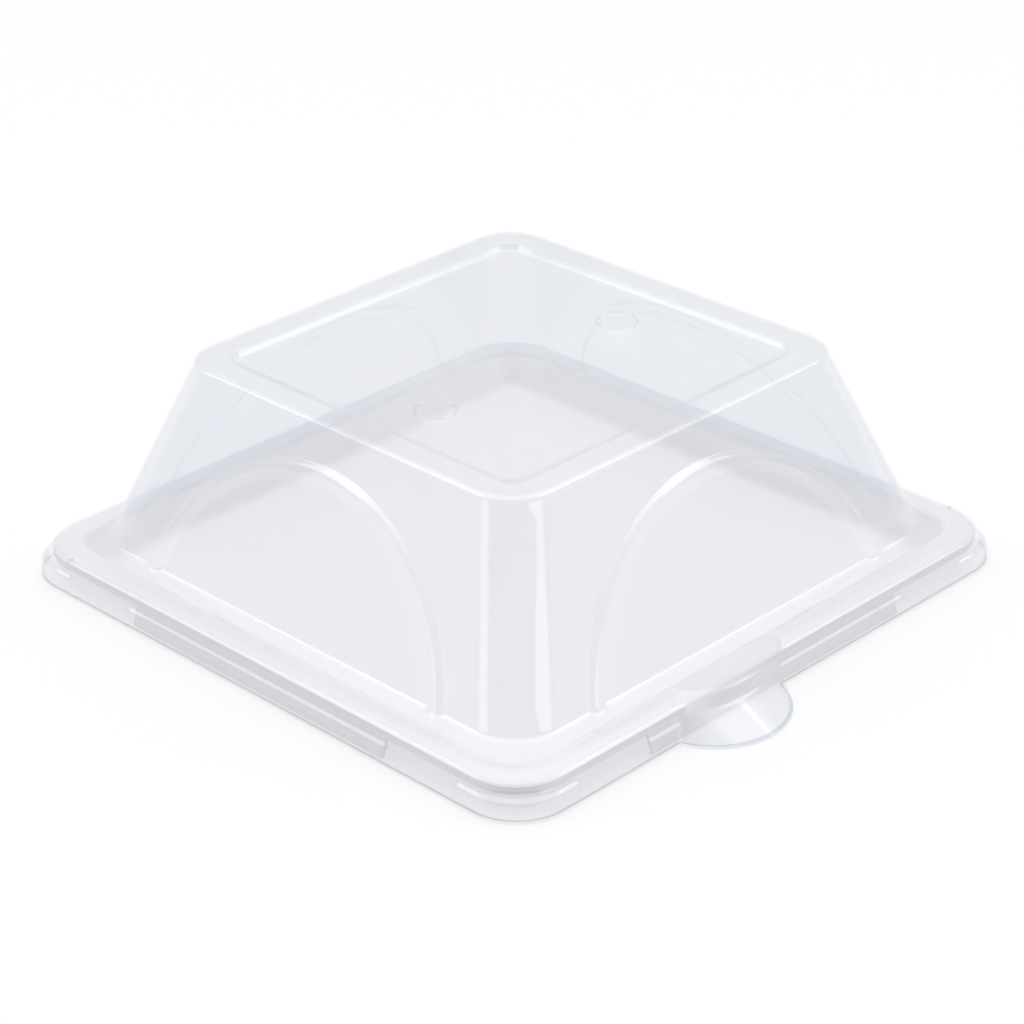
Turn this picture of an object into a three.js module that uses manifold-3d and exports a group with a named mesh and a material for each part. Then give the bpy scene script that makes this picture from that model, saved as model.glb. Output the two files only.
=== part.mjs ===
// Humidity dome tray: a clear thermoformed dome lid that snaps over the rim of a shallow white base tray.
// Millimetres, +Z up, origin on the tray's flat underside, thumb tab towards -Y.
import * as THREE from 'three';
import { mergeVertices } from 'three/addons/utils/BufferGeometryUtils.js';
import Module from 'manifold-3d';

const wasm = await Module();
wasm.setup();

// Lid: overall sizes
const lipHalf = 80; // half the width across the lid's bottom lip
const lidHeight = 52.5; // from the tray's underside to the top of the roof border
const lidSheet = 0.5; // wall thickness of the clear sheet
const lipLift = 0.4; // the lip hangs this far above the tray's underside

// Lid: skirt, shoulder and flange, from the lip upwards
const leadInHeight = 3.6; // height of the slightly wider band at the bottom of the skirt
const leadInStep = 1.0; // how far that band stands out beyond the shoulder
const skirtDraft = 0.3; // how far each upright band leans in over its height
const stepHeight = 0.8; // height of the slope between the two bands
const shoulderHeight = 1.3; // upright part of the shoulder, above the slope
const shoulderRun = 4.9; // the rounded shoulder's reach across
const shoulderRise = 2.2; // the rounded shoulder's reach up
const flangeWidth = 5.2; // from the shoulder to the foot of the dome wall
const flangeRise = 0.8; // the flange climbs this much towards the wall

// Lid: dome wall and roof
const wallDraft = THREE.MathUtils.degToRad(20.4); // lean of the wall from upright
const roofEdgeRadius = 2.2; // rounding between the wall and the roof
const roofBorder = 6.1; // flat border between the rounded edge and the recessed panel
const panelDepth = 1.2; // depth of the recessed roof panel
const panelStepRun = 0.7; // the panel's sloping step, measured across

// Lid: corner radii in plan
const lipCorner = 12.8;
const shoulderCorner = 13.4;
const flangeCorner = 12.4;
const footCorner = 12.2;
const roofCorner = 10.0;
const panelCorner = 4.0;

// Lid: arch beads on the four walls
const archCornerMargin = 23.5; // from the wall's corner to the arch's foot, along the foot of the wall
const archTopMargin = 10.7; // from the roof edge to the arch's crown, along the slope
const beadRadius = 3.6; // radius of the bead's rounded section
const beadProud = 0.8; // how far the bead stands out of the wall

// Lid: snap dents, two on each side of the skirt
const dentCornerMargin = 18.4; // from the skirt's corner to the dent's outer end
const dentLength = 20;
const dentBottom = 1.3; // height where the dent starts to slope in, up to its ledge at the shoulder's foot
const dentClearance = 0.35; // gap between the ledge's inner face and the tray's turned-down edge

// Lid: thumb tab, a half cone under a raised crown
const tabCentre = -16.7; // the tab stands to one side of the middle
const tabRadius = 16.8;
const tabReach = 11.6; // how far the tab stands out beyond the lip
const tabWaist = { shift: 0.9, halfWidth: 17.4, beyondLip: 2.7, belowTop: 2.9 };
const tabCrown = { shift: 4.6, halfWidth: 15.6, beyondLip: 1.7, belowTop: 0.8 };
const tabTop = { shift: 4.6, halfWidth: 13.8, beyondLip: 0.4, belowTop: 0 };
const tabRise = 0.2; // the crown stands this far above the outer edge of the flange

// Tray
const traySheet = 0.6; // wall thickness of the white sheet
const seatClearance = 0.3; // gap between the tray's rim and the lid that covers it
const rimWidth = 6.1; // from the rim's outer edge to the hollow of the tray
const rimHem = 1.3; // depth of the rim's turned-down edge below its rounded shoulder
const hemFlare = 0.1; // how far the turned-down edge leans out
const apronBottom = 0.5; // height of the lower edge of the aprons, which hang between the snap dents
const apronFlare = 1.3; // how far an apron leans out beyond the turned-down edge
const apronGap = 1.6; // from an apron's end to the nearest snap dent
const apronLap = 0.6; // how far an apron reaches up into the turned-down edge
const apronInset = 0.08; // the aprons hang this far inside the turned-down edge's lower end
const trayWallRun = 6.2; // the tray's wall leans out this much over its height
const rimInnerCorner = 8.8; // corner radius where the rim meets the wall
const floorFillet = 1.2; // rounding between the wall and the floor
const rimFillet = 0.9; // rounding between the wall and the rim

// How far the hollows and cutters run past the faces that they cut
const runOut = 5;
const cutterReach = 2;
const leastCorner = 0.3; // smallest plan corner radius of an offset profile
const weldDistance = 1e-4;

// Fineness of round shapes
const cornerSteps = 7;
const shoulderSteps = 5;
const beadSides = 12;
const archSteps = 72;
const tabSteps = 48;

// A profile is a list of [half width, height, corner radius], walked along one face of a sheet.
function arcPoints(centre, radii, fromDeg, toDeg, steps, corner) {
  const points = [];
  for (let i = 0; i <= steps; i += 1) {
    const angle = THREE.MathUtils.degToRad(fromDeg + ((toDeg - fromDeg) * i) / steps);
    const half = centre[0] + radii[0] * Math.cos(angle);
    points.push([half, centre[1] + radii[1] * Math.sin(angle), corner(half)]);
  }
  return points;
}

// Moves a profile sideways, to the left of its walking direction, keeping plan corners concentric.
function offsetProfile(profile, distance) {
  return profile.map(([half, height, corner], i) => {
    const before = profile[Math.max(i - 1, 0)];
    const here = new THREE.Vector2(half, height);
    const after = profile[Math.min(i + 1, profile.length - 1)];
    const arrive = here.clone().sub(new THREE.Vector2(before[0], before[1])).normalize();
    const leave = new THREE.Vector2(after[0], after[1]).sub(here).normalize();
    const first = i === 0 ? leave : arrive;
    const second = i === profile.length - 1 ? arrive : leave;
    const firstNormal = new THREE.Vector2(-first.y, first.x);
    const secondNormal = new THREE.Vector2(-second.y, second.x);
    const mitre = firstNormal.clone().add(secondNormal).normalize();
    const shift = mitre.multiplyScalar(distance / mitre.dot(firstNormal));
    return [half + shift.x, height + shift.y, Math.max(corner + shift.x, leastCorner)];
  });
}

// One ring of points round a square with rounded corners.
function squareRing([half, height, corner]) {
  const ring = [];
  for (let quarter = 0; quarter < 4; quarter += 1) {
    const turn = (quarter * Math.PI) / 2;
    for (let i = 0; i <= cornerSteps; i += 1) {
      const angle = (Math.PI / 2) * (i / cornerSteps);
      const corner2d = new THREE.Vector2(half - corner, half - corner);
      corner2d.x += corner * Math.cos(angle);
      corner2d.y += corner * Math.sin(angle);
      corner2d.rotateAround(new THREE.Vector2(), turn);
      ring.push(new THREE.Vector3(corner2d.x, corner2d.y, height));
    }
  }
  return ring;
}

// Joins rings of equal length into one closed skin with a flat cap at each end.
function loft(rings) {
  const count = rings[0].length;
  const positions = [];
  const index = [];
  for (const ring of rings) {
    for (const point of ring) positions.push(point.x, point.y, point.z);
  }
  for (let r = 0; r + 1 < rings.length; r += 1) {
    for (let i = 0; i < count; i += 1) {
      const a = r * count + i;
      const b = r * count + ((i + 1) % count);
      index.push(a, b, b + count, a, b + count, a + count);
    }
  }
  const caps = [[rings[0], 0, true], [rings.at(-1), (rings.length - 1) * count, false]];
  for (const [ring, start, flip] of caps) {
    const middle = positions.length / 3;
    const centre = ring.reduce((sum, p) => sum.add(p), new THREE.Vector3()).divideScalar(count);
    positions.push(centre.x, centre.y, centre.z);
    for (let i = 0; i < count; i += 1) {
      const a = start + i;
      const b = start + ((i + 1) % count);
      index.push(...(flip ? [middle, b, a] : [middle, a, b]));
    }
  }
  const geometry = new THREE.BufferGeometry();
  geometry.setAttribute('position', new THREE.Float32BufferAttribute(positions, 3));
  geometry.setIndex(index);
  return geometry;
}

function toSolid(geometry) {
  const bare = geometry.clone();
  bare.deleteAttribute('normal');
  bare.deleteAttribute('uv');
  const merged = mergeVertices(bare, weldDistance);
  return new wasm.Manifold(new wasm.Mesh({
    numProp: 3,
    vertProperties: new Float32Array(merged.attributes.position.array),
    triVerts: new Uint32Array(merged.index.array),
  }));
}

function toGeometry(solid) {
  const mesh = solid.getMesh();
  const geometry = new THREE.BufferGeometry();
  geometry.setAttribute('position', new THREE.BufferAttribute(mesh.vertProperties, 3));
  geometry.setIndex(new THREE.BufferAttribute(mesh.triVerts, 1));
  geometry.computeVertexNormals();
  return geometry;
}

// Places that follow from the sizes above
const bandTop = lipLift + leadInHeight;
const shoulderHalf = lipHalf - skirtDraft - leadInStep;
const shoulderFoot = bandTop + stepHeight;
const shoulderTop = shoulderFoot + shoulderHeight;
const crestHalf = shoulderHalf - skirtDraft;
const flangeHalf = crestHalf - shoulderRun;
const flangeHeight = shoulderTop + shoulderRise;
const footHalf = flangeHalf - flangeWidth;
const footHeight = flangeHeight + flangeRise;
const roofHalf = footHalf - (lidHeight - footHeight) * Math.tan(wallDraft);
const edgeTangent = roofEdgeRadius * Math.tan((Math.PI / 2 - wallDraft) / 2);
const panelHalf = roofHalf - edgeTangent - roofBorder;
const hemHalf = crestHalf - lidSheet - seatClearance + hemFlare;

// The lid's outer face, from the lip up to the roof panel
function lidProfile() {
  const shoulder = arcPoints(
    [flangeHalf, shoulderTop], [shoulderRun, shoulderRise], 0, 90, shoulderSteps,
    (half) => flangeCorner + ((shoulderCorner - flangeCorner) * (half - flangeHalf)) / shoulderRun,
  );
  const roofEdge = arcPoints(
    [roofHalf - edgeTangent, lidHeight - roofEdgeRadius], [roofEdgeRadius, roofEdgeRadius],
    THREE.MathUtils.radToDeg(wallDraft), 90, 4,
    (half) => roofCorner - (roofHalf - half),
  );
  return [
    [lipHalf, lipLift, lipCorner],
    [lipHalf - skirtDraft, bandTop, lipCorner],
    [shoulderHalf, shoulderFoot, shoulderCorner],
    ...shoulder,
    [footHalf, footHeight, footCorner],
    ...roofEdge,
    [panelHalf, lidHeight, panelCorner],
    [panelHalf - panelStepRun, lidHeight - panelDepth, panelCorner - panelStepRun],
  ];
}

// The space under the lid, at a distance inside its outer face; it runs out below the lip
function lidBody(distance) {
  const profile = offsetProfile(lidProfile(), distance);
  if (distance > 0) {
    const [half, height, corner] = profile[0];
    profile[0] = [half, height - runOut, corner];
  }
  return toSolid(loft(profile.map(squareRing)));
}

// One round bead for each wall, as a ring lying under the wall's face
function archBeads(radius) {
  const chord = footHalf - archCornerMargin;
  const slope = (lidHeight - footHeight) / Math.cos(wallDraft);
  const rise = slope - archTopMargin;
  const archRadius = (chord * chord + rise * rise) / (2 * rise);
  const sunk = beadRadius - beadProud;
  const ring = new THREE.TorusGeometry(archRadius, radius, beadSides, archSteps);
  ring.rotateX(Math.PI / 2);
  ring.translate(0, sunk, rise - archRadius);
  ring.rotateX(-wallDraft);
  ring.translate(0, -footHalf, footHeight);
  const above = new THREE.BoxGeometry(4 * lipHalf, 4 * lipHalf, lidHeight);
  above.translate(0, 0, lipLift + lidHeight / 2 + 1);
  const bead = toSolid(ring).intersect(toSolid(above));
  return [0, 90, 180, 270].map((turn) => bead.rotate([0, 0, turn]));
}

// The wedge pressed into the skirt at each snap dent; growth moves every face by the sheet thickness
function dentWedges(growth) {
  const face = lipHalf - skirtDraft / 2;
  const ledge = hemHalf + dentClearance + lidSheet - growth;
  const outline = new THREE.Shape();
  outline.moveTo(face + cutterReach, dentBottom - growth);
  outline.lineTo(face - growth, dentBottom);
  outline.lineTo(ledge, shoulderFoot);
  if (growth > 0) {
    outline.lineTo(ledge, shoulderFoot + growth);
  }
  outline.lineTo(face + cutterReach, shoulderFoot + growth);
  const length = dentLength + 2 * growth;
  const wedge = new THREE.ExtrudeGeometry(outline, { depth: length, bevelEnabled: false });
  wedge.rotateX(Math.PI / 2);
  wedge.translate(0, lipHalf - dentCornerMargin + growth, 0);
  const one = toSolid(wedge);
  const pair = [one, one.mirror([0, 1, 0])];
  return pair.flatMap((dent) => [0, 90, 180, 270].map((turn) => dent.rotate([0, 0, turn])));
}

// The thumb tab's outer shape, or its hollow when a distance is given; the hollow runs out below the lip
function tabBody(distance) {
  const middle = -(lipHalf + tabReach - tabRadius);
  const top = flangeHeight + tabRise;
  const foot = { shift: 0, halfWidth: tabRadius, beyondLip: tabReach, belowTop: top - lipLift };
  const levels = [foot, tabWaist, tabCrown, tabTop].map(({ shift, halfWidth, beyondLip, belowTop }) => ({
    shift, halfWidth, front: -(lipHalf + beyondLip) - middle, height: top - belowTop,
  }));
  const rise = levels[1].height - levels[0].height;
  const spread = (key) => (levels[0][key] - levels[1][key]) / rise;
  const sideInset = distance * Math.hypot(1, spread('halfWidth'));
  const frontInset = distance * Math.hypot(1, spread('front'));
  const hollowDrop = distance > 0 ? lidSheet : 0;
  levels[0].halfWidth += spread('halfWidth') * hollowDrop;
  levels[0].front += spread('front') * hollowDrop;
  levels[0].height -= hollowDrop;
  levels[2].height -= distance;
  levels[3].height -= distance;
  const rings = levels.map(({ shift, halfWidth, front, height }, i) => {
    const points = [];
    for (let k = 0; k < tabSteps; k += 1) {
      const angle = (2 * Math.PI * k) / tabSteps;
      const reach = front + (i < 2 ? frontInset : distance);
      points.push(new THREE.Vector3(
        tabCentre + shift + (halfWidth - sideInset) * Math.cos(angle),
        middle - reach * Math.sin(angle),
        height,
      ));
    }
    return points;
  });
  return toSolid(loft(rings));
}

function domeLid() {
  const join = (first, pieces) => pieces.reduce((sum, piece) => sum.add(piece), first);
  const cut = (first, pieces) => pieces.reduce((rest, piece) => rest.subtract(piece), first);
  const outside = cut(join(lidBody(0), [...archBeads(beadRadius), tabBody(0)]), dentWedges(0));
  const beneath = join(lidBody(lidSheet), [...archBeads(beadRadius - lidSheet), tabBody(lidSheet)]);
  return outside.subtract(cut(beneath, dentWedges(lidSheet)));
}

// The aprons that hang from the turned-down edge, one on each side between the snap dents
function hemAprons(top) {
  const reach = lipHalf - dentCornerMargin - dentLength - apronGap;
  const outer = hemHalf - apronInset;
  const foot = hemHalf + apronFlare;
  const section = new THREE.Shape();
  section.moveTo(outer, top + apronLap);
  section.lineTo(outer - traySheet, top + apronLap);
  section.lineTo(outer - traySheet, top);
  section.lineTo(foot - traySheet, apronBottom);
  section.lineTo(foot, apronBottom);
  section.lineTo(outer, top);
  const apron = new THREE.ExtrudeGeometry(section, { depth: 2 * reach, bevelEnabled: false });
  apron.rotateX(Math.PI / 2);
  apron.translate(0, reach, 0);
  const first = toSolid(apron);
  return [0, 90, 180, 270].map((turn) => first.rotate([0, 0, turn]));
}

// The tray is one formed sheet: its top face is walked from the hem over the rim to the floor, and its
// underside back
function baseTray() {
  const underLid = offsetProfile(lidProfile(), lidSheet + seatClearance);
  const rim = underLid.slice(3, 4 + shoulderSteps);
  const crest = rim.at(-1);
  const hem = [hemHalf, rim[0][1] - rimHem, rim[0][2] + hemFlare];
  const rimInner = hemHalf - rimWidth;
  const rimSlope = flangeRise / flangeWidth;
  const rimHeight = crest[1] + (crest[0] - rimInner) * rimSlope;
  const rise = rimHeight - traySheet;
  const lean = trayWallRun / rise;
  const floorCorner = rimInnerCorner - trayWallRun;
  const floorHalf = rimInner - trayWallRun;
  const top = [
    hem,
    ...rim,
    [rimInner + rimFillet, rimHeight - rimFillet * rimSlope, rimInnerCorner + rimFillet],
    [rimInner - (rimFillet / 2) * lean, rimHeight - rimFillet / 2, rimInnerCorner],
    [floorHalf + floorFillet * lean, traySheet + floorFillet, floorCorner + floorFillet],
    [floorHalf, traySheet + floorFillet * 0.3, floorCorner + floorFillet / 2],
    [floorHalf - floorFillet, traySheet, floorCorner],
  ];
  const under = offsetProfile(top, traySheet);
  under[under.length - 1][1] = 0;
  const sheet = toSolid(loft([...under].reverse().concat(top).map(squareRing)));
  return hemAprons(hem[1]).reduce((whole, apron) => whole.add(apron), sheet);
}

function namedMesh(name, solid, material) {
  const mesh = new THREE.Mesh(toGeometry(solid), material);
  mesh.name = name;
  return mesh;
}

const clearSheet = new THREE.MeshStandardMaterial({
  color: 0xe9ecf0, roughness: 0.08, metalness: 0, transparent: true, opacity: 0.35,
});
const whiteSheet = new THREE.MeshStandardMaterial({ color: 0xeeeeec, roughness: 0.45, metalness: 0 });

const tray = new THREE.Group();
tray.add(namedMesh('dome_lid', domeLid(), clearSheet));
tray.add(namedMesh('base_tray', baseTray(), whiteSheet));

export default tray;
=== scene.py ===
"""Humidity dome tray: a clear formed dome lid over a shallow white base tray, on a plain pale floor."""
import math

import bpy
import numpy as np
from mathutils import Matrix, Vector
from mathutils.geometry import delaunay_2d_cdt


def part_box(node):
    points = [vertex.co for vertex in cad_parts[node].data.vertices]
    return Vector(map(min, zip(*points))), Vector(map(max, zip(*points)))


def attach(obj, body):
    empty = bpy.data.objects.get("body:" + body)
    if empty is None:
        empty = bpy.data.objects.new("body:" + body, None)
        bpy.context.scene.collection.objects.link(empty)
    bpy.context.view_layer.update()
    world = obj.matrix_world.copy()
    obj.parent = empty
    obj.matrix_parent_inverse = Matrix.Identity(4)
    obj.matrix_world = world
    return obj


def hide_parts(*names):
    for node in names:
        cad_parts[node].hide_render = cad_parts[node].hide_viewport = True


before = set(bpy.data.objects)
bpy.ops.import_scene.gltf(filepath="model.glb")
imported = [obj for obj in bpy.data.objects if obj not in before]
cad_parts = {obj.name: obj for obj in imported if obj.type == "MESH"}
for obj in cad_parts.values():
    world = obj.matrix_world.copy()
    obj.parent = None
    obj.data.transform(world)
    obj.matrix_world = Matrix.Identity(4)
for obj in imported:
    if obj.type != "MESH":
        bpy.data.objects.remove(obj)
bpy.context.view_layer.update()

MM = 0.001
LID_LOW, LID_HIGH = (np.array(corner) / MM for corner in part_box("dome_lid"))
TRAY_HIGH = np.array(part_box("base_tray")[1]) / MM

# Sizes in millimetres. The frame gives the overall ones, and the rest are the part's own.
LIP_HALF = float(LID_HIGH[0])
LID_TOP = float(LID_HIGH[2])
LIP_LIFT = float(LID_LOW[2])
TAB_FRONT = -float(LID_LOW[1])
APRON_FLARE = 1.3
HEM_HALF = float(TRAY_HIGH[0]) - APRON_FLARE
LID_SHEET = 0.5
TRAY_SHEET = 0.6
SEAT_CLEARANCE = 0.3

LEAD_IN_HEIGHT = 3.6
LEAD_IN_STEP = 1.0
STEP_HEIGHT = 0.8
SHOULDER_HEIGHT = 1.3
SKIRT_DRAFT = 0.3
BAND_TOP = LIP_LIFT + LEAD_IN_HEIGHT
SHOULDER_HALF = LIP_HALF - SKIRT_DRAFT - LEAD_IN_STEP
SHOULDER_FOOT = BAND_TOP + STEP_HEIGHT
CREST_HALF = SHOULDER_HALF - SKIRT_DRAFT
CREST_HEIGHT = SHOULDER_FOOT + SHOULDER_HEIGHT
SHOULDER_RUN = 4.9
SHOULDER_RISE = 2.2
FLANGE_HALF = CREST_HALF - SHOULDER_RUN
FLANGE_HEIGHT = CREST_HEIGHT + SHOULDER_RISE
FLANGE_WIDTH = 5.2
FLANGE_RISE = 0.8
FOOT_HALF = FLANGE_HALF - FLANGE_WIDTH
FOOT_HEIGHT = FLANGE_HEIGHT + FLANGE_RISE
WALL_DRAFT = math.radians(20.4)
WALL_SLOPE = (LID_TOP - FOOT_HEIGHT) / math.cos(WALL_DRAFT)
ROOF_HALF = FOOT_HALF - WALL_SLOPE * math.sin(WALL_DRAFT)
ROOF_EDGE = 2.2
ROOF_BORDER = 6.1
PANEL_DEPTH = 1.2
PANEL_RUN = 0.7

LIP_CORNER = 12.8
SHOULDER_CORNER = 13.4
FLANGE_CORNER = 12.4
FOOT_CORNER = 12.2
ROOF_CORNER = 10.0
PANEL_CORNER = 4.0

ARCH_CORNER_MARGIN = 23.5
ARCH_TOP_MARGIN = 10.7
ARCH_CHORD = FOOT_HALF - ARCH_CORNER_MARGIN
ARCH_RISE = WALL_SLOPE - ARCH_TOP_MARGIN
ARCH_RADIUS = (ARCH_CHORD**2 + ARCH_RISE**2) / (2 * ARCH_RISE)
ARCH_DROP = ARCH_RADIUS - ARCH_RISE
BEAD_RADIUS = 2.9
BEAD_PROUD = 1.0
BEAD_BLEND = 0.15

DENT_CORNER_MARGIN = 18.4
DENT_LENGTH = 20.0
DENT_FAR = LIP_HALF - DENT_CORNER_MARGIN
DENT_NEAR = DENT_FAR - DENT_LENGTH
DENT_BOTTOM = 1.3
DENT_CLEARANCE = 0.35
DENT_LEDGE = HEM_HALF + DENT_CLEARANCE + LID_SHEET
DENT_SLOPE = 0.3

TAB_CENTRE = -16.7
TAB_RADIUS = 16.8
TAB_MIDDLE = TAB_FRONT - TAB_RADIUS
TAB_RISE = 0.2
TAB_TOP = FLANGE_HEIGHT + TAB_RISE

MARK_RADIUS = 4.6
MARK_WIDTH = 0.5
MARK_HEIGHT = 0.4
MARK_PLACES = ((-30.0, -7.0), (30.0, -4.0))

RIM_WIDTH = 6.1
RIM_CORNER = 8.8
TRAY_WALL_RUN = 6.2
FLOOR_CORNER = 2.6
HEM_DEPTH = 1.3
HEM_FLARE = 0.1
APRON_BOTTOM = 0.5
APRON_GAP = 1.6
APRON_REACH = DENT_NEAR - APRON_GAP

# Columns along half of a straight side: shares of its length, each with how many columns lead to it.
# They lie close together at the snap dents' two ends.
DENT_COLUMNS = ((0.607, 0), (0.65, 9), (0.905, 7), (0.955, 11), (1.0, 2))
MIDDLE_COLUMNS = 12
TAB_COLUMNS = 72
LEFT_COLUMNS = 14
RIGHT_COLUMNS = 30
ROOF_COLUMNS = 17
WALL_ROWS = 13

# The tab's crown runs out on the flange in rings this far apart, and then joins the square outline.
CROWN_RING = 0.12
CROWN_JOIN = 1.5
JOIN_SHARES = (0.15, 0.4, 0.7, 1.0)
FLANGE_JOIN = 2.5
FOOT_BEND = 0.9
CORNER_STEPS = 20


def smooth_step(value, start, end):
    t = np.clip((value - start) / (end - start), 0, 1)
    return t * t * (3 - 2 * t)


def smooth_rise(value, blend):
    """The larger of the value and nothing, with a soft change between the two."""
    share = np.clip(0.5 + 0.5 * value / blend, 0, 1)
    return value * share + blend * share * (1 - share)


# Paths: rows of numbers whose first two are the half width and the height
def bend(start, corner, end, steps=6):
    t = np.linspace(0, 1, steps + 1)[:, None]
    return (1 - t) ** 2 * start + 2 * t * (1 - t) * corner + t**2 * end


def rounded(corners, cuts, steps=6):
    """A path through corners, each inner corner rounded from the given distance before it."""
    corners = np.array(corners, float)
    pieces = [corners[:1]]
    for before, corner, after, cut in zip(corners, corners[1:], corners[2:], cuts):
        back, ahead = before - corner, after - corner
        start = corner + back * cut / np.linalg.norm(back[:2])
        end = corner + ahead * cut / np.linalg.norm(ahead[:2])
        pieces.append(bend(start, corner, end, steps))
    return np.vstack([*pieces, corners[-1:]])


def subdivided(path, spacing):
    rows = [path[0]]
    for before, after in zip(path, path[1:]):
        steps = max(1, math.ceil(np.linalg.norm(after[:2] - before[:2]) / spacing))
        rows.extend(before + (after - before) * i / steps for i in range(1, steps + 1))
    return np.array(rows)


def inset(path, distance):
    """The same path, moved to the left of its walking direction."""
    along = np.gradient(path[:, :2], axis=0)
    along /= np.linalg.norm(along, axis=1)[:, None]
    moved = path.copy()
    moved[:, 0] -= along[:, 1] * distance
    moved[:, 1] += along[:, 0] * distance
    moved[:, 2] = np.maximum(path[:, 2] - along[:, 1] * distance, 0.3)
    return moved


class Skin:
    """One face of a formed sheet, gathered from patches that meet edge to edge."""

    def __init__(self):
        self.points, self.faces, self.count = [], [], 0

    def add(self, points, faces):
        self.points.append(np.asarray(points, float).reshape(-1, 3))
        self.faces.extend(np.asarray(face) + self.count for face in faces)
        self.count += len(self.points[-1])

    def grid(self, rows):
        high, wide = rows.shape[:2]
        index = np.arange(high * wide).reshape(high, wide)
        corners = index[:-1, :-1], index[:-1, 1:], index[1:, 1:], index[1:, :-1]
        self.add(rows, np.stack(corners, -1).reshape(-1, 4))

    def stitch(self, low, high):
        """Triangles between two lines of points that run the same way with different spacing."""
        low_share = np.linspace(0, 1, len(low)) if len(low) == len(high) else shares(low)
        high_share = np.linspace(0, 1, len(high)) if len(low) == len(high) else shares(high)
        faces, i, j = [], 0, 0
        while i + 1 < len(low) or j + 1 < len(high):
            go_low = j + 1 == len(high) or (i + 1 < len(low) and low_share[i + 1] <= high_share[j + 1])
            faces.append((i, i + 1, len(low) + j) if go_low else (i, len(low) + j + 1, len(low) + j))
            i, j = (i + 1, j) if go_low else (i, j + 1)
        self.add(np.vstack([low, high]), faces)

    def patch(self, outline, lines, place):
        """Fills a flat outline whose triangles follow the given lines, and puts each point in its place."""
        flat = [Vector(p) for p in outline]
        edges = [(i, (i + 1) % len(outline)) for i in range(len(outline))]
        for line, closed in lines:
            start = len(flat)
            flat.extend(Vector(p) for p in line)
            edges.extend((start + i, start + i + 1) for i in range(len(line) - 1))
            if closed:
                edges.append((start + len(line) - 1, start))
        points, _, faces, *_ = delaunay_2d_cdt(flat, edges, [], 1, 1e-6)
        self.add(place(np.array([tuple(p) for p in points])), faces)

    def welded(self):
        """All points and faces, with points that coincide made one."""
        points = np.vstack(self.points)
        _, keep, same = np.unique(np.round(points, 3), axis=0, return_index=True, return_inverse=True)
        same = same.reshape(-1)
        faces = []
        for face in self.faces:
            ring = [v for i, v in enumerate(same[face]) if v != same[face[i - 1]]]
            if len(set(ring)) > 2:
                faces.append(ring)
        return points[keep], faces


def shares(line):
    steps = np.linalg.norm(np.diff(line, axis=0), axis=1)
    run = np.concatenate([[0], np.cumsum(steps)])
    return run / run[-1]


def turned(points, side):
    """Points given for the front side, turned to one of the four sides."""
    spin = np.array(Matrix.Rotation(side * math.pi / 2, 3, "Z"))
    return points @ spin.T


def side_grid(rows, shares_along):
    """Rows of points along the straight part of the front side."""
    half, height, corner = rows[:, 0:1], rows[:, 1:2], rows[:, 2:3]
    along = shares_along * (half - corner)
    return np.stack([along, np.broadcast_to(-half, along.shape), np.broadcast_to(height, along.shape)], -1)


def corner_grid(rows):
    """Rows of points round the corner that follows the front side."""
    half, height, corner = rows[:, 0:1], rows[:, 1:2], rows[:, 2:3]
    angle = np.linspace(-math.pi / 2, 0, CORNER_STEPS + 1)[None, :]
    x = half - corner + corner * np.cos(angle)
    y = corner - half + corner * np.sin(angle)
    return np.stack([x, y, np.broadcast_to(height, x.shape)], -1)


def graded(*stops):
    """Numbers through the given stops, each stop being a place and how many steps lead to it."""
    places = [np.array([stops[0][0]])]
    for (start, _), (end, steps) in zip(stops, stops[1:]):
        places.append(np.linspace(start, end, steps + 1)[1:])
    return np.concatenate(places)


def mirrored(half_line):
    return np.concatenate([-half_line[:0:-1], half_line])


def solid_from(skin, thickness):
    """Gives a skin its sheet thickness, with a cut edge where the skin ends."""
    outer, faces = skin.welded()
    normals = np.zeros_like(outer)
    borders = {}
    for face in faces:
        ring = outer[face]
        normal = sum(np.cross(ring[i] - ring[0], ring[i + 1] - ring[0]) for i in range(1, len(face) - 1))
        normals[face] += normal
        for a, b in zip(face, [*face[1:], face[0]]):
            if borders.pop((b, a), None) is None:
                borders[(a, b)] = True
    normals /= np.linalg.norm(normals, axis=1)[:, None]
    inner = outer - normals * thickness
    rim = sorted({v for edge in borders for v in edge})
    level = normals[rim, :2]
    reach = np.linalg.norm(level, axis=1)[:, None]
    inner[rim, :2] = outer[rim, :2] - level / reach**2 * thickness
    inner[rim, 2] = outer[rim, 2]
    count = len(outer)
    back = [[v + count for v in reversed(face)] for face in faces]
    edge = [[b, a, a + count, b + count] for a, b in borders]
    return np.vstack([outer, inner]), [*faces, *back], edge


def mesh_object(name, solid, face_material, edge_material):
    """A mesh of a sheet's two faces and its cut edge, each with its own material."""
    points, faces, edge = solid
    mesh = bpy.data.meshes.new(name)
    mesh.from_pydata((points * MM).tolist(), [], [[int(v) for v in face] for face in [*faces, *edge]])
    mesh.materials.append(face_material)
    mesh.materials.append(edge_material)
    mesh.polygons.foreach_set("material_index", [0] * len(faces) + [1] * len(edge))
    mesh.shade_smooth()
    mesh.set_sharp_from_angle(angle=math.radians(50))
    piece = bpy.data.objects.new(name, mesh)
    bpy.context.scene.collection.objects.link(piece)
    return piece


# The lid's outer face
def flange_row(half):
    share = (FLANGE_HALF - half) / FLANGE_WIDTH
    corner = FLANGE_CORNER + (FOOT_CORNER - FLANGE_CORNER) * share
    return np.array([half, FLANGE_HEIGHT + FLANGE_RISE * share, corner])


def shoulder_rows(steps):
    angle = np.linspace(0, math.pi / 2, steps + 1)
    half = FLANGE_HALF + SHOULDER_RUN * np.cos(angle)
    height = CREST_HEIGHT + SHOULDER_RISE * np.sin(angle)
    corner = FLANGE_CORNER + (SHOULDER_CORNER - FLANGE_CORNER) * np.cos(angle)
    return np.stack([half, height, corner], -1)


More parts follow.
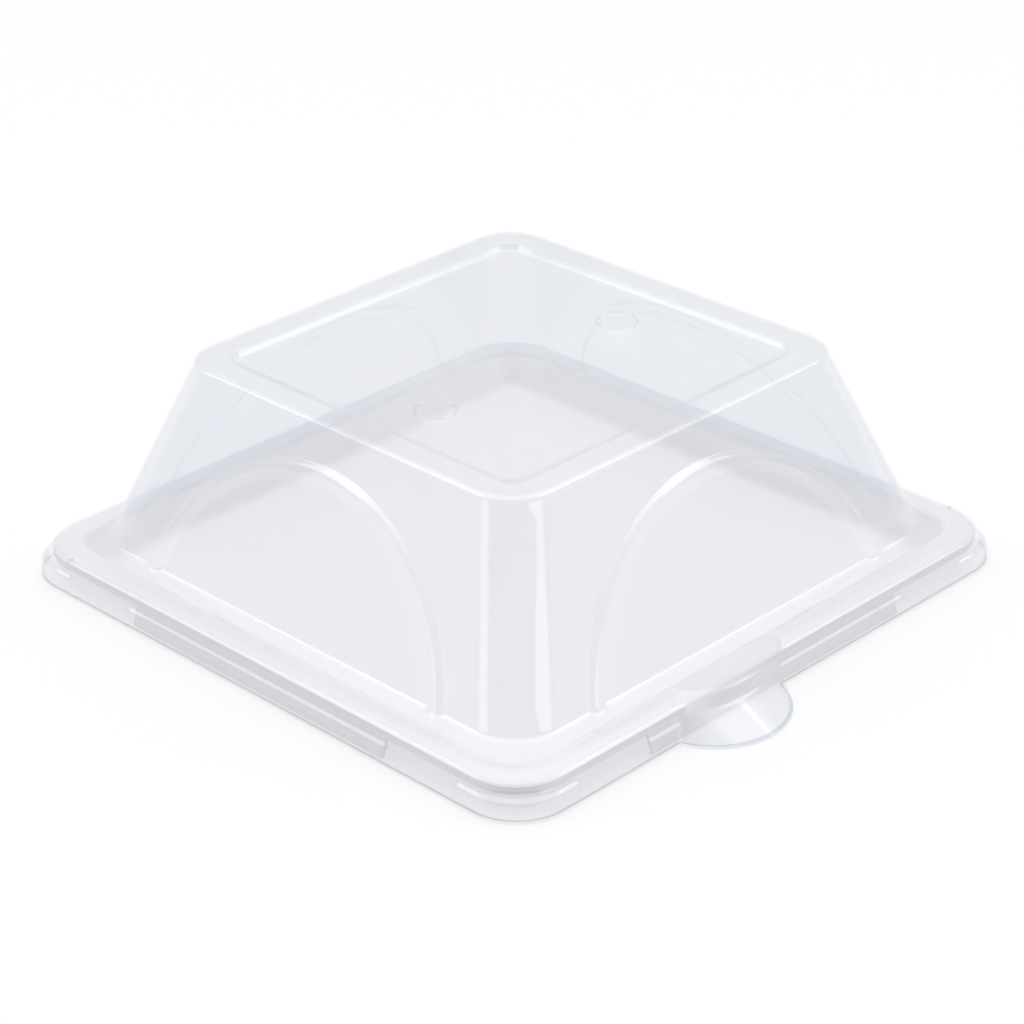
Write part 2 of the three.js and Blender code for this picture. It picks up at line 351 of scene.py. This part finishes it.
def skirt_rows():
    corners = [
        (LIP_HALF, LIP_LIFT, LIP_CORNER),
        (LIP_HALF - SKIRT_DRAFT, BAND_TOP, LIP_CORNER),
        (SHOULDER_HALF, SHOULDER_FOOT, SHOULDER_CORNER),
        (CREST_HALF, CREST_HEIGHT, SHOULDER_CORNER),
    ]
    return subdivided(rounded(corners, [0.5, 0.4], 5), 0.45)


def dent_depth(along, half, height):
    """How far the skirt is pressed in at the snap dents."""
    opening = smooth_step(along, DENT_NEAR - DENT_SLOPE, DENT_NEAR + DENT_SLOPE)
    closing = 1 - smooth_step(along, DENT_FAR - DENT_SLOPE, DENT_FAR + DENT_SLOPE)
    window = opening * closing
    face = LIP_HALF - SKIRT_DRAFT / 2
    slope = (face - DENT_LEDGE) / (SHOULDER_FOOT - DENT_BOTTOM)
    pressed = face - slope * (np.minimum(height, SHOULDER_FOOT) - DENT_BOTTOM)
    depth = smooth_rise(half - pressed, 0.12)
    return depth * window * (1 - smooth_step(height, SHOULDER_FOOT, SHOULDER_FOOT + 0.4))


def tab_outline_at():
    """The tab's reach, height, sideways shift and half width, from its foot up to its flat top."""
    corners = [
        (TAB_RADIUS, LIP_LIFT, 0.0, TAB_RADIUS),
        (LIP_HALF + 2.7 - TAB_MIDDLE, TAB_TOP - 2.9, 0.9, 17.4),
        (LIP_HALF + 1.7 - TAB_MIDDLE, TAB_TOP - 0.5, 4.6, 15.6),
        (LIP_HALF + 0.9 - TAB_MIDDLE, TAB_TOP, 4.6, 14.6),
        (LIP_HALF - 1.6 - TAB_MIDDLE, TAB_TOP, 4.6, 12.2),
    ]
    return subdivided(rounded(corners, [0.5, 0.3, 0.3]), 0.05)


def crown_row(i):
    return flange_row(FLANGE_HALF - CROWN_RING * (i + 1))


def tab_side(rows, dent_shares):
    """The front side's rows, with the thumb tab standing out of them."""
    outline = tab_outline_at()
    level = np.argmax(outline[:, 1] >= FLANGE_HEIGHT)
    rising, crown = outline[: level + 1], outline[level:]
    crown = crown[:: len(crown) // 8]
    near = dent_shares[0]
    built = []
    entries = [(row, [np.interp(row[1], rising[:, 1], rising[:, i]) for i in range(4)]) for row in rows]
    entries += [(crown_row(i), list(point)) for i, point in enumerate(crown)]
    for (half, height, corner), (reach, tab_height, shift, width) in entries:
        straight = half - corner
        centre = TAB_CENTRE + shift
        start = math.asin(np.clip((half - TAB_MIDDLE) / reach, 0, 1))
        angle = np.linspace(math.pi - start, start, TAB_COLUMNS + 1)
        across = centre + width * np.cos(angle)
        arc = np.stack([across, -TAB_MIDDLE - reach * np.sin(angle), np.full(len(angle), tab_height)], -1)
        arc[[0, -1], 2] = height
        left_share = np.linspace(0, 1, LEFT_COLUMNS + 1)[:-1] ** 0.8
        right_share = np.linspace(0, 1, RIGHT_COLUMNS + 1)[1:] ** 1.5
        left = -near * straight + (arc[0, 0] + near * straight) * left_share
        right = arc[-1, 0] + (near * straight - arc[-1, 0]) * right_share
        line = np.vstack([
            np.stack([left, np.full(LEFT_COLUMNS, -half), np.full(LEFT_COLUMNS, height)], -1),
            arc,
            np.stack([right, np.full(RIGHT_COLUMNS, -half), np.full(RIGHT_COLUMNS, height)], -1),
        ])
        for _ in range(2):
            line[1:-1] = (line[:-2] + 2 * line[1:-1] + line[2:]) / 4
        built.append(line)
    last = flange_row(FLANGE_HALF - CROWN_JOIN)
    straight = last[0] - last[2]
    join = built[-1].copy()
    join[:, 1], join[:, 2] = -last[0], last[1]
    join[0, 0], join[-1, 0] = -near * straight, near * straight
    built += [built[-1] + (join - built[-1]) * share for share in JOIN_SHARES]
    return np.array(built)


def bead_height(along, up):
    """How far the arch bead stands out of the wall; up is measured from the wall's foot."""
    off = np.hypot(along, up + ARCH_DROP) - ARCH_RADIUS
    round_face = np.sqrt(np.maximum(BEAD_RADIUS**2 - off**2, 0)) - (BEAD_RADIUS - BEAD_PROUD)
    return smooth_rise(round_face, BEAD_BLEND)


def with_dents(grid):
    """The grid with the snap dents pressed into it."""
    pressed = grid.copy()
    pressed[..., 1] += dent_depth(np.abs(grid[..., 0]), -grid[..., 1], grid[..., 2])
    return pressed


def lid_skirt(skin):
    """From the lip over the shoulder onto the flange."""
    rows = np.vstack([skirt_rows(), shoulder_rows(12)[1:]])
    outer = graded(*DENT_COLUMNS)
    front = tab_side(rows, outer)
    rings = len(front) - len(rows) - len(JOIN_SHARES)
    flange = [crown_row(i) for i in range(rings)]
    last = flange_row(FLANGE_HALF - CROWN_JOIN)
    flange += [flange[-1] + (last - flange[-1]) * share for share in JOIN_SHARES]
    rows = np.vstack([rows, flange])
    inner = graded((0.0, 0), (outer[0], MIDDLE_COLUMNS))
    whole = mirrored(np.concatenate([inner, outer[1:]]))
    ends = []
    for side in range(4):
        if side == 0:
            left, right = side_grid(rows, -outer[::-1]), side_grid(rows, outer)
            parts = [with_dents(left), front, with_dents(right)]
        else:
            parts = [with_dents(side_grid(rows, whole))]
        for part in parts:
            skin.grid(turned(part, side))
        line = np.vstack([parts[0][-1], *[part[-1][1:] for part in parts[1:]]])
        ends.append(turned(line, side))
        skin.grid(turned(corner_grid(rows), side))
    return last, ends


def lid_flange(skin, outer_row, outer_ends):
    """The flange, the rounded foot of the walls and the first of each wall."""
    start = flange_row(FLANGE_HALF - FLANGE_JOIN)
    foot = np.array([FOOT_HALF, FOOT_HEIGHT, FOOT_CORNER])
    wall = wall_end()
    before = foot + (start - foot) * FOOT_BEND / np.linalg.norm((start - foot)[:2])
    after = foot + (wall - foot) * FOOT_BEND / np.linalg.norm((wall - foot)[:2])
    rows = np.vstack([start, bend(before, foot, after, 8)])
    bead = ARCH_CHORD / (FOOT_HALF - FOOT_CORNER)
    half_line = graded((0.0, 0), (bead - 0.06, 9), (bead + 0.06, 18), (1.0, 4))
    columns = mirrored(half_line)
    for side in range(4):
        grid = side_grid(rows, columns)
        up = np.maximum(grid[..., 2] - FOOT_HEIGHT, 0) / math.cos(WALL_DRAFT)
        push = bead_height(grid[..., 0], up) / math.cos(WALL_DRAFT)
        push[0] = 0
        grid[..., 1] -= push
        grid[..., 2] -= push * FLANGE_RISE / FLANGE_WIDTH * (1 - smooth_step(up, 0, FOOT_BEND))
        skin.stitch(outer_ends[side], turned(grid[0], side))
        skin.grid(turned(grid, side))
        skin.grid(turned(corner_grid(np.vstack([outer_row, start])), side))
        skin.grid(turned(corner_grid(rows), side))
    return after, columns * (after[0] - after[2])


def wall_end():
    """Where the wall meets the rounded roof edge."""
    half = ROOF_HALF - edge_tangent() + ROOF_EDGE * math.cos(WALL_DRAFT)
    height = LID_TOP - ROOF_EDGE + ROOF_EDGE * math.sin(WALL_DRAFT)
    return np.array([half, height, ROOF_CORNER + half - ROOF_HALF])


def edge_tangent():
    return ROOF_EDGE * math.tan((math.pi / 2 - WALL_DRAFT) / 2)


def lid_walls(skin, low, low_line):
    """The four sloping walls, each with its arch bead, and the corners between them."""
    high = wall_end()
    length = np.linalg.norm((high - low)[:2])
    start = np.linalg.norm((low - np.array([FOOT_HALF, FOOT_HEIGHT, 0]))[:2])
    rows = low + (high - low) * np.linspace(0, 1, WALL_ROWS)[:, None]
    straight = rows[:, 0] - rows[:, 2]
    rise = np.linspace(0, length, WALL_ROWS)
    top = np.linspace(-1, 1, ROOF_COLUMNS) * straight[-1]
    outline = [
        *[(s, 0.0) for s in low_line],
        *zip(straight[1:-1], rise[1:-1]),
        *[(s, length) for s in top[::-1]],
        *reversed(list(zip(-straight[1:-1], rise[1:-1]))),
    ]
    lines = []
    for off in np.linspace(-2.6, 2.6, 21):
        radius = ARCH_RADIUS + off
        first = math.asin((start + 0.35 + ARCH_DROP) / radius)
        angle = np.linspace(first, math.pi - first, 97)
        path = np.stack([radius * np.cos(angle), radius * np.sin(angle) - ARCH_DROP - start], -1)
        lines.append((path, False))

    def beaded(flat):
        along, up = flat[:, 0], flat[:, 1]
        proud = bead_height(along, up + start)
        half = low[0] - up * math.sin(WALL_DRAFT) + proud / math.cos(WALL_DRAFT)
        height = low[1] + up * math.cos(WALL_DRAFT)
        return np.stack([along, -half, height], -1)

    wall = Skin()
    wall.patch(outline, lines, beaded)
    for side in range(4):
        skin.add(turned(wall.points[0], side), wall.faces)
        skin.grid(turned(corner_grid(rows), side))
    return high


def lid_roof(skin, wall_top):
    """The rounded roof edge, the flat border and the recessed panel."""
    edge = np.array([ROOF_HALF - edge_tangent(), LID_TOP, ROOF_CORNER - edge_tangent()])
    corner = np.array([ROOF_HALF, LID_TOP, (wall_top[2] + edge[2]) / 2])
    panel = ROOF_HALF - edge_tangent() - ROOF_BORDER
    border = rounded([
        edge,
        (panel, LID_TOP, PANEL_CORNER),
        (panel - PANEL_RUN, LID_TOP - PANEL_DEPTH, PANEL_CORNER - PANEL_RUN),
        (panel - 3.0, LID_TOP - PANEL_DEPTH, PANEL_CORNER - PANEL_RUN - 1.0),
    ], [0.12, 0.1], 4)
    rows = np.vstack([bend(wall_top, corner, edge, 10), border[1:]])
    columns = np.linspace(-1, 1, ROOF_COLUMNS)
    outline = []
    for side in range(4):
        grid = turned(side_grid(rows, columns), side)
        turn = turned(corner_grid(rows), side)
        skin.grid(grid)
        skin.grid(turn)
        outline += [tuple(p[:2]) for p in grid[-1][:-1]] + [tuple(p[:2]) for p in turn[-1][:-1]]
    marks = [np.array(place) for place in MARK_PLACES]
    angle = np.linspace(0, 2 * math.pi, 60, endpoint=False)
    circle = np.stack([np.cos(angle), np.sin(angle)], -1)
    lines = [
        (mark + circle * (MARK_RADIUS + off), True)
        for mark in marks
        for off in np.linspace(-MARK_WIDTH, MARK_WIDTH, 7)
    ]

    def marked(flat):
        rise = np.zeros(len(flat))
        for mark in marks:
            off = np.linalg.norm(flat - mark, axis=1) - MARK_RADIUS
            rise += MARK_HEIGHT * (1 - smooth_step(np.abs(off), 0, MARK_WIDTH * 0.9))
        return np.column_stack([flat, LID_TOP - PANEL_DEPTH + rise])

    skin.patch(outline, lines, marked)


def clear_dome():
    skin = Skin()
    outer_row, outer_ends = lid_skirt(skin)
    low, low_line = lid_flange(skin, outer_row, outer_ends)
    wall_top = lid_walls(skin, low, low_line)
    lid_roof(skin, wall_top)
    # The lip's cut edge gets the painted shade material, not the clear one.
    piece = mesh_object("clear_dome", solid_from(skin, LID_SHEET), clear_plastic(), painted_shade_edge())
    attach(piece, "lid")
    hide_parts("dome_lid")
    return piece


def white_pan():
    """The tray: a turned-down edge, a rounded rim under the lid's shoulder, sloping walls and a floor."""
    under_lid = inset(shoulder_rows(16), LID_SHEET + SEAT_CLEARANCE)
    hem = np.array([HEM_HALF, under_lid[0, 1] - HEM_DEPTH, under_lid[0, 2] + HEM_FLARE])
    rim_inner = HEM_HALF - RIM_WIDTH
    rim_height = under_lid[-1, 1] + (under_lid[-1, 0] - rim_inner) * FLANGE_RISE / FLANGE_WIDTH
    rim_edge = np.array([rim_inner, rim_height, RIM_CORNER])
    floor_half = rim_inner - TRAY_WALL_RUN
    hollow = rounded([
        under_lid[-1] + 0.01 * (rim_edge - under_lid[-1]),
        rim_edge,
        (floor_half, TRAY_SHEET, FLOOR_CORNER),
        (floor_half - 3.0, TRAY_SHEET, FLOOR_CORNER - 1.0),
    ], [1.1, 1.6], 10)
    path = np.vstack([hem, subdivided(under_lid, 0.5), hollow])
    apron_foot = hem + (APRON_FLARE, APRON_BOTTOM - hem[1], APRON_FLARE)
    apron = subdivided(np.array([apron_foot, hem]), 0.6)
    skin = Skin()
    inner = graded((0.0, 0), (APRON_REACH / (hem[0] - hem[2]), 24))
    columns = mirrored(np.concatenate([inner, graded((inner[-1], 0), (1.0, 14))[1:]]))
    cap = []
    for side in range(4):
        grid = turned(side_grid(path, columns), side)
        turn = turned(corner_grid(path), side)
        skin.grid(grid)
        skin.grid(turn)
        skin.grid(turned(side_grid(apron, mirrored(inner)), side))
        cap += [tuple(p[:2]) for p in grid[-1][:-1]] + [tuple(p[:2]) for p in turn[-1][:-1]]
    skin.patch(cap, [], lambda flat: np.column_stack([flat, np.full(len(flat), TRAY_SHEET)]))
    white = white_plastic()
    piece = mesh_object("white_pan", solid_from(skin, TRAY_SHEET), white, white)
    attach(piece, "tray")
    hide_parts("base_tray")
    return piece


# Materials
class Nodes:
    """Short calls for making a node material."""

    def __init__(self, name):
        self.material = bpy.data.materials.new(name)
        self.material.use_nodes = True
        self.tree = self.material.node_tree
        self.tree.nodes.clear()

    def make(self, kind, settings=None, **inputs):
        node = self.tree.nodes.new(kind)
        for name, value in (settings or {}).items():
            setattr(node, name, value)
        for name, value in inputs.items():
            socket = node.inputs[name.replace("_", " ")]
            if isinstance(value, bpy.types.NodeSocket):
                self.tree.links.new(value, socket)
            else:
                socket.default_value = value
        return node

    def noise(self, scale, detail=2.0):
        place = self.make("ShaderNodeTexCoord").outputs["Object"]
        return self.make("ShaderNodeTexNoise", Vector=place, Scale=scale, Detail=detail).outputs["Fac"]

    def spread(self, value, low, high):
        node = self.make("ShaderNodeMapRange", Value=value, To_Min=low, To_Max=high)
        return node.outputs["Result"]

    def finish(self, shader):
        self.make("ShaderNodeOutputMaterial", Surface=shader)
        return self.material


def clear_plastic():
    """Clear formed sheet: each face mirrors a little, more at a glance, and tints what is behind it."""
    nodes = Nodes("clear_plastic")
    waves = nodes.make("ShaderNodeBump", Height=nodes.noise(38.0, 1.0), Strength=0.25, Distance=0.0006)
    facing = nodes.make("ShaderNodeLayerWeight", Blend=0.5, Normal=waves.outputs["Normal"])
    glance = nodes.make("ShaderNodeMath", {"operation": "POWER"})
    nodes.tree.links.new(facing.outputs["Facing"], glance.inputs[0])
    glance.inputs[1].default_value = 5.0
    mirror = nodes.spread(glance.outputs["Value"], 0.049, 1.0)
    gloss = nodes.make(
        "ShaderNodeBsdfPrincipled",
        Base_Color=(1.0, 1.0, 1.0, 1),
        Metallic=1.0,
        Roughness=nodes.spread(nodes.noise(160.0, 4.0), 0.03, 0.09),
        Normal=waves.outputs["Normal"],
    )
    tint = nodes.make("ShaderNodeMix", {"data_type": "RGBA"}, Factor=nodes.noise(60.0, 3.0))
    tint.inputs[6].default_value = (0.950, 0.956, 0.970, 1)
    tint.inputs[7].default_value = (0.956, 0.961, 0.974, 1)
    passing = nodes.make("ShaderNodeBsdfTransparent", Color=tint.outputs[2])
    mix = nodes.make("ShaderNodeMixShader", Fac=mirror)
    nodes.tree.links.new(passing.outputs["BSDF"], mix.inputs[1])
    nodes.tree.links.new(gloss.outputs["BSDF"], mix.inputs[2])
    return nodes.finish(mix.outputs["Shader"])


def painted_shade_edge():
    """The lid's trimmed lip, drawn opaque grey-blue: painted shade standing for the dark line one sees when
    looking along the clear sheet.
    """
    nodes = Nodes("painted_shade_edge")
    tone = nodes.make("ShaderNodeMix", {"data_type": "RGBA"}, Factor=nodes.noise(300.0, 3.0))
    # Painted shade: grey-blue tones on the clear lip's edge, varying at random between the two.
    tone.inputs[6].default_value = (0.60, 0.63, 0.67, 1)
    tone.inputs[7].default_value = (0.66, 0.69, 0.73, 1)
    edge = nodes.make(
        "ShaderNodeBsdfPrincipled",
        Base_Color=tone.outputs[2],
        Roughness=nodes.spread(nodes.noise(500.0, 2.0), 0.2, 0.4),
        IOR=1.57,
    )
    return nodes.finish(edge.outputs["BSDF"])


def white_plastic():
    """Opaque white formed sheet with a satin face and a faint orange peel."""
    nodes = Nodes("white_plastic")
    tone = nodes.make("ShaderNodeMix", {"data_type": "RGBA"}, Factor=nodes.noise(45.0, 3.0))
    tone.inputs[6].default_value = (0.96, 0.942, 0.918, 1)
    tone.inputs[7].default_value = (0.982, 0.966, 0.944, 1)
    peel = nodes.make("ShaderNodeBump", Height=nodes.noise(900.0, 2.0), Strength=0.12, Distance=0.0002)
    face = nodes.make(
        "ShaderNodeBsdfPrincipled",
        Base_Color=tone.outputs[2],
        Roughness=nodes.spread(nodes.noise(220.0, 3.0), 0.34, 0.5),
        IOR=1.5,
        Normal=peel.outputs["Normal"],
    )
    through = nodes.make("ShaderNodeBsdfTranslucent", Color=(0.93, 0.93, 0.92, 1))
    mix = nodes.make("ShaderNodeMixShader", Fac=0.1)
    nodes.tree.links.new(face.outputs["BSDF"], mix.inputs[1])
    nodes.tree.links.new(through.outputs["BSDF"], mix.inputs[2])
    return nodes.finish(mix.outputs["Shader"])


def floor_paint():
    """A pale light table: a matt white face that glows a little."""
    nodes = Nodes("floor_paint")
    face = nodes.make(
        "ShaderNodeBsdfPrincipled",
        Base_Color=(0.36, 0.36, 0.36, 1),
        Roughness=1.0,
        Emission_Color=(1, 1, 1, 1),
    )
    face.inputs["Emission Strength"].default_value = 0.565
    face.inputs["Specular IOR Level"].default_value = 0.0
    return nodes.finish(face.outputs["BSDF"])


# The studio, in metres
LAMP_DISTANCE = 1.5
LAMP_AIM = (0, 0, 0.03)
FLOOR_REACH = 4.0
FLOOR_DROP = 0.0002


def floor():
    mesh = bpy.data.meshes.new("floor")
    ways = ((-1, -1), (1, -1), (1, 1), (-1, 1))
    corners = [(x * FLOOR_REACH, y * FLOOR_REACH, 0) for x, y in ways]
    mesh.from_pydata(corners, [], [(0, 1, 2, 3)])
    mesh.materials.append(floor_paint())
    piece = bpy.data.objects.new("floor", mesh)
    piece.location.z = -FLOOR_DROP
    bpy.context.scene.collection.objects.link(piece)


def soft_light(name, place, aim, width, height, power):
    light = bpy.data.lights.new(name, "AREA")
    light.shape = "RECTANGLE"
    light.size, light.size_y, light.energy = width, height, power
    lamp = bpy.data.objects.new(name, light)
    lamp.location = place
    lamp.visible_camera = False
    lamp.rotation_euler = (Vector(aim) - Vector(place)).to_track_quat("-Z", "Y").to_euler()
    bpy.context.scene.collection.objects.link(lamp)
    return lamp


def light_room(tree):
    """Soft light from above, dimmer low at the sides and towards the front, and bright low down behind.

    The ramps run over parts of a unit direction: how far it points up, and how far towards the front corner.
    """
    sky = tree.nodes["Background"]
    sky.inputs["Color"].default_value = (0.985, 0.99, 1.0, 1)
    way = tree.nodes.new("ShaderNodeTexCoord").outputs["Generated"]
    split = tree.nodes.new("ShaderNodeSeparateXYZ")
    tree.links.new(way, split.inputs[0])
    front = tree.nodes.new("ShaderNodeVectorMath")
    front.operation = "DOT_PRODUCT"
    front.inputs[1].default_value = (-math.sqrt(0.5), -math.sqrt(0.5), 0)
    tree.links.new(way, front.inputs[0])

    def ramp(value, start, end, first, last):
        step = tree.nodes.new("ShaderNodeMapRange")
        step.interpolation_type = "SMOOTHSTEP"
        for name, number in (("From Min", start), ("From Max", end), ("To Min", first), ("To Max", last)):
            step.inputs[name].default_value = number
        tree.links.new(value, step.inputs["Value"])
        return step.outputs["Result"]

    def joined(operation, one, other):
        node = tree.nodes.new("ShaderNodeMath")
        node.operation = operation
        tree.links.new(one, node.inputs[0])
        tree.links.new(other, node.inputs[1])
        return node.outputs["Value"]

    height, forward = split.outputs["Z"], front.outputs["Value"]
    low = joined("MAXIMUM", ramp(height, 0.1, 0.6, 0.63, 0.84), ramp(forward, -0.45, -0.05, 0.85, 0.0))
    high = joined("ADD", low, ramp(height, 0.61, 0.8, 0.0, 0.85))
    strength = joined("MULTIPLY", high, ramp(forward, 0.1, 0.42, 1.0, 0.42))
    tree.links.new(strength, sky.inputs["Strength"])


def studio():
    world = bpy.data.worlds.new("studio")
    world.use_nodes = True
    light_room(world.node_tree)
    scene = bpy.context.scene
    scene.world = world
    # Name, azimuth, elevation, width, height and glow. The overhead one lights matt faces only.
    boxes = (
        ("back_left", 129, 40, 0.6, 0.6, 1.7),
        ("back_right", 321, 40, 0.6, 0.6, 1.7),
        ("low_left", 163, 9, 0.45, 0.5, 1.1),
        ("low_right", 274, 9, 0.8, 0.5, 1.1),
        ("overhead", 225, 64, 1.8, 1.8, 0.34),
    )
    for name, azimuth, elevation, width, height, glow in boxes:
        turn, lift = math.radians(azimuth), math.radians(elevation)
        way = Vector((math.cos(lift) * math.cos(turn), math.cos(lift) * math.sin(turn), math.sin(lift)))
        power = glow * math.pi * width * height
        lamp = soft_light(name, way * LAMP_DISTANCE, LAMP_AIM, width, height, power)
        lamp.visible_glossy = name != "overhead"
    scene.view_settings.view_transform = "Standard"
    scene.view_settings.look = "None"
    scene.cycles.max_bounces = 16
    scene.cycles.transmission_bounces = 16
    scene.cycles.transparent_max_bounces = 24


def camera():
    data = bpy.data.cameras.new("camera")
    data.lens = 106.5
    data.shift_x = -0.0015
    view = bpy.data.objects.new("camera", data)
    place = Vector((-0.4289, -0.4294, 0.3323))
    aim = Vector((0, 0, 0.01256))
    level = (aim - place).to_track_quat("-Z", "Y").to_matrix().to_4x4()
    view.matrix_world = Matrix.Translation(place) @ level @ Matrix.Rotation(math.radians(-0.963), 4, "Z")
    bpy.context.scene.collection.objects.link(view)
    bpy.context.scene.camera = view


camera()
floor()
studio()
clear_dome()
white_pan()
